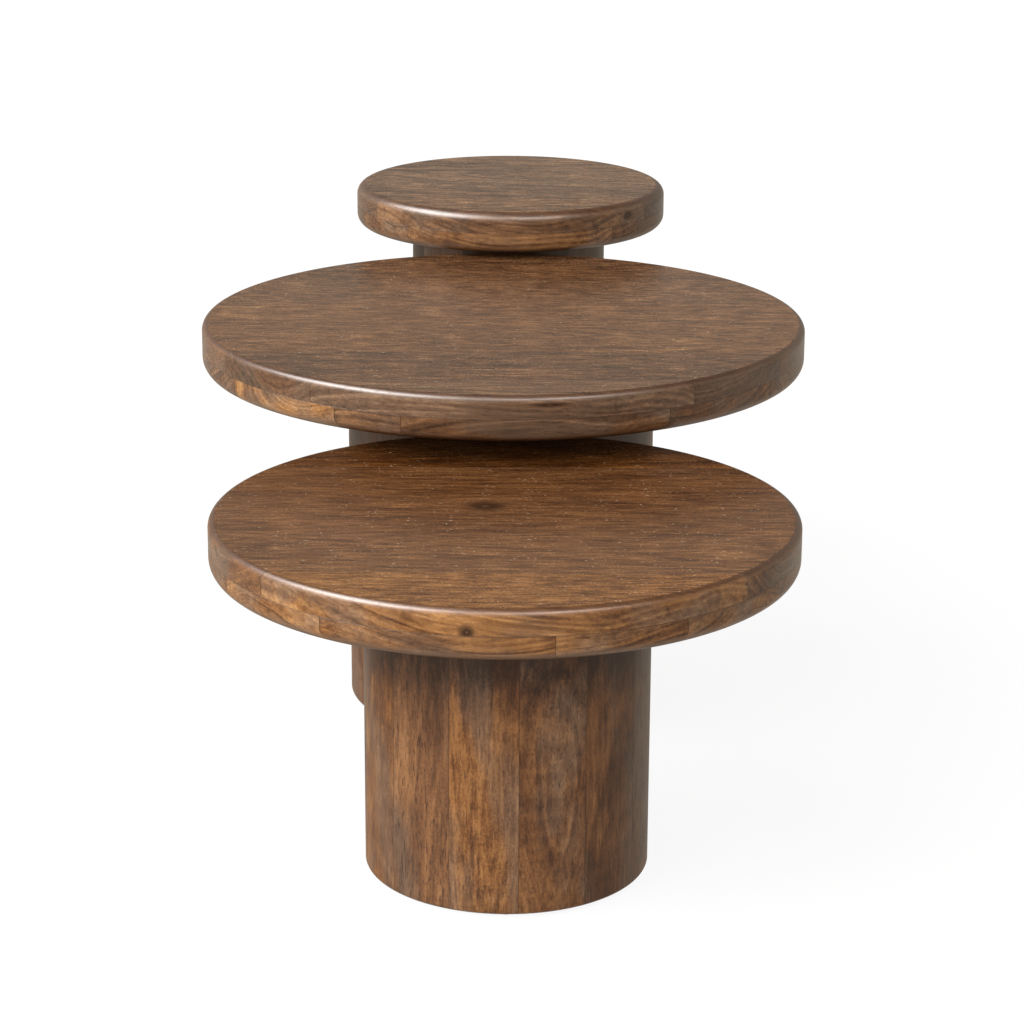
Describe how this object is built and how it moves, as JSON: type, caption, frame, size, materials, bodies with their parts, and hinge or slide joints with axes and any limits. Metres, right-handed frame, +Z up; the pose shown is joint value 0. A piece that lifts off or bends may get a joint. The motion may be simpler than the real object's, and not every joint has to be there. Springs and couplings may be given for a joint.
{
  "type": "nesting tables",
  "caption": "Nest of round pedestal tables in dark solid wood, each a thick round top on a plain drum, stepped in height so that the tops slide over one another.",
  "frame": {"origin": "on the floor, at the centre of the bounding box of the three tables", "axes": "+Y from the low table in front to the tall table at the back; +Z up; +X to the right seen from the front, along the grain of the tops"},
  "size_m": [0.7, 1.52, 0.518],
  "materials": {
    "top_wood": "dark stain under satin lacquer",
    "drum_wood": "dark stain under satin lacquer",
    "plywood": "bare birch plywood",
    "insert_brass": "plain turned",
    "bolt_steel": "zinc plated",
    "felt": "pressed wool felt"
  },
  "bodies": {
    "large_table": {"large_bolt_washers": "bolt_steel", "large_drum_foot_ring": "plywood", "large_drum_head_disc": "plywood", "large_drum_staves": "drum_wood", "large_felt_pads": "felt", "large_threaded_inserts": "insert_brass", "large_top_bolts": "bolt_steel", "large_top_lower_board_1_left": "top_wood", "large_top_lower_board_1_right": "top_wood", "large_top_lower_board_2": "top_wood", "large_top_lower_board_3": "top_wood", "large_top_lower_board_4": "top_wood", "large_top_lower_board_5": "top_wood", "large_top_lower_board_6": "top_wood", "large_top_lower_board_7": "top_wood", "large_top_upper_board_1": "top_wood", "large_top_upper_board_2": "top_wood", "large_top_upper_board_3": "top_wood", "large_top_upper_board_4": "top_wood", "large_top_upper_board_5": "top_wood", "large_top_upper_board_6": "top_wood"},
    "low_table": {"low_bolt_washers": "bolt_steel", "low_drum_foot_ring": "plywood", "low_drum_head_disc": "plywood", "low_drum_staves": "drum_wood", "low_felt_pads": "felt", "low_threaded_inserts": "insert_brass", "low_top_bolts": "bolt_steel", "low_top_lower_board_1_left": "top_wood", "low_top_lower_board_1_right": "top_wood", "low_top_lower_board_2": "top_wood", "low_top_lower_board_3": "top_wood", "low_top_lower_board_4": "top_wood", "low_top_lower_board_5": "top_wood", "low_top_lower_board_6": "top_wood", "low_top_upper_board_1": "top_wood", "low_top_upper_board_2": "top_wood", "low_top_upper_board_3": "top_wood", "low_top_upper_board_4": "top_wood", "low_top_upper_board_5": "top_wood"},
    "tall_table": {"tall_bolt_washers": "bolt_steel", "tall_drum_foot_ring": "plywood", "tall_drum_head_disc": "plywood", "tall_drum_staves": "drum_wood", "tall_felt_pads": "felt", "tall_threaded_inserts": "insert_brass", "tall_top_bolts": "bolt_steel", "tall_top_lower_board_1": "top_wood", "tall_top_lower_board_2": "top_wood", "tall_top_lower_board_3": "top_wood", "tall_top_lower_board_4": "top_wood", "tall_top_lower_board_5": "top_wood", "tall_top_upper_board_1": "top_wood", "tall_top_upper_board_2": "top_wood", "tall_top_upper_board_3": "top_wood", "tall_top_upper_board_4": "top_wood"}
  },
  "joints": [
    {"name": "low_slide", "type": "slide", "parent": "large_table", "child": "low_table", "axis": [0, 1, 0], "range_m": [-0.4, 0.026]},
    {"name": "tall_slide", "type": "slide", "parent": "large_table", "child": "tall_table", "axis": [0, 1, 0], "range_m": [-0.031, 0.35]}
  ]
}
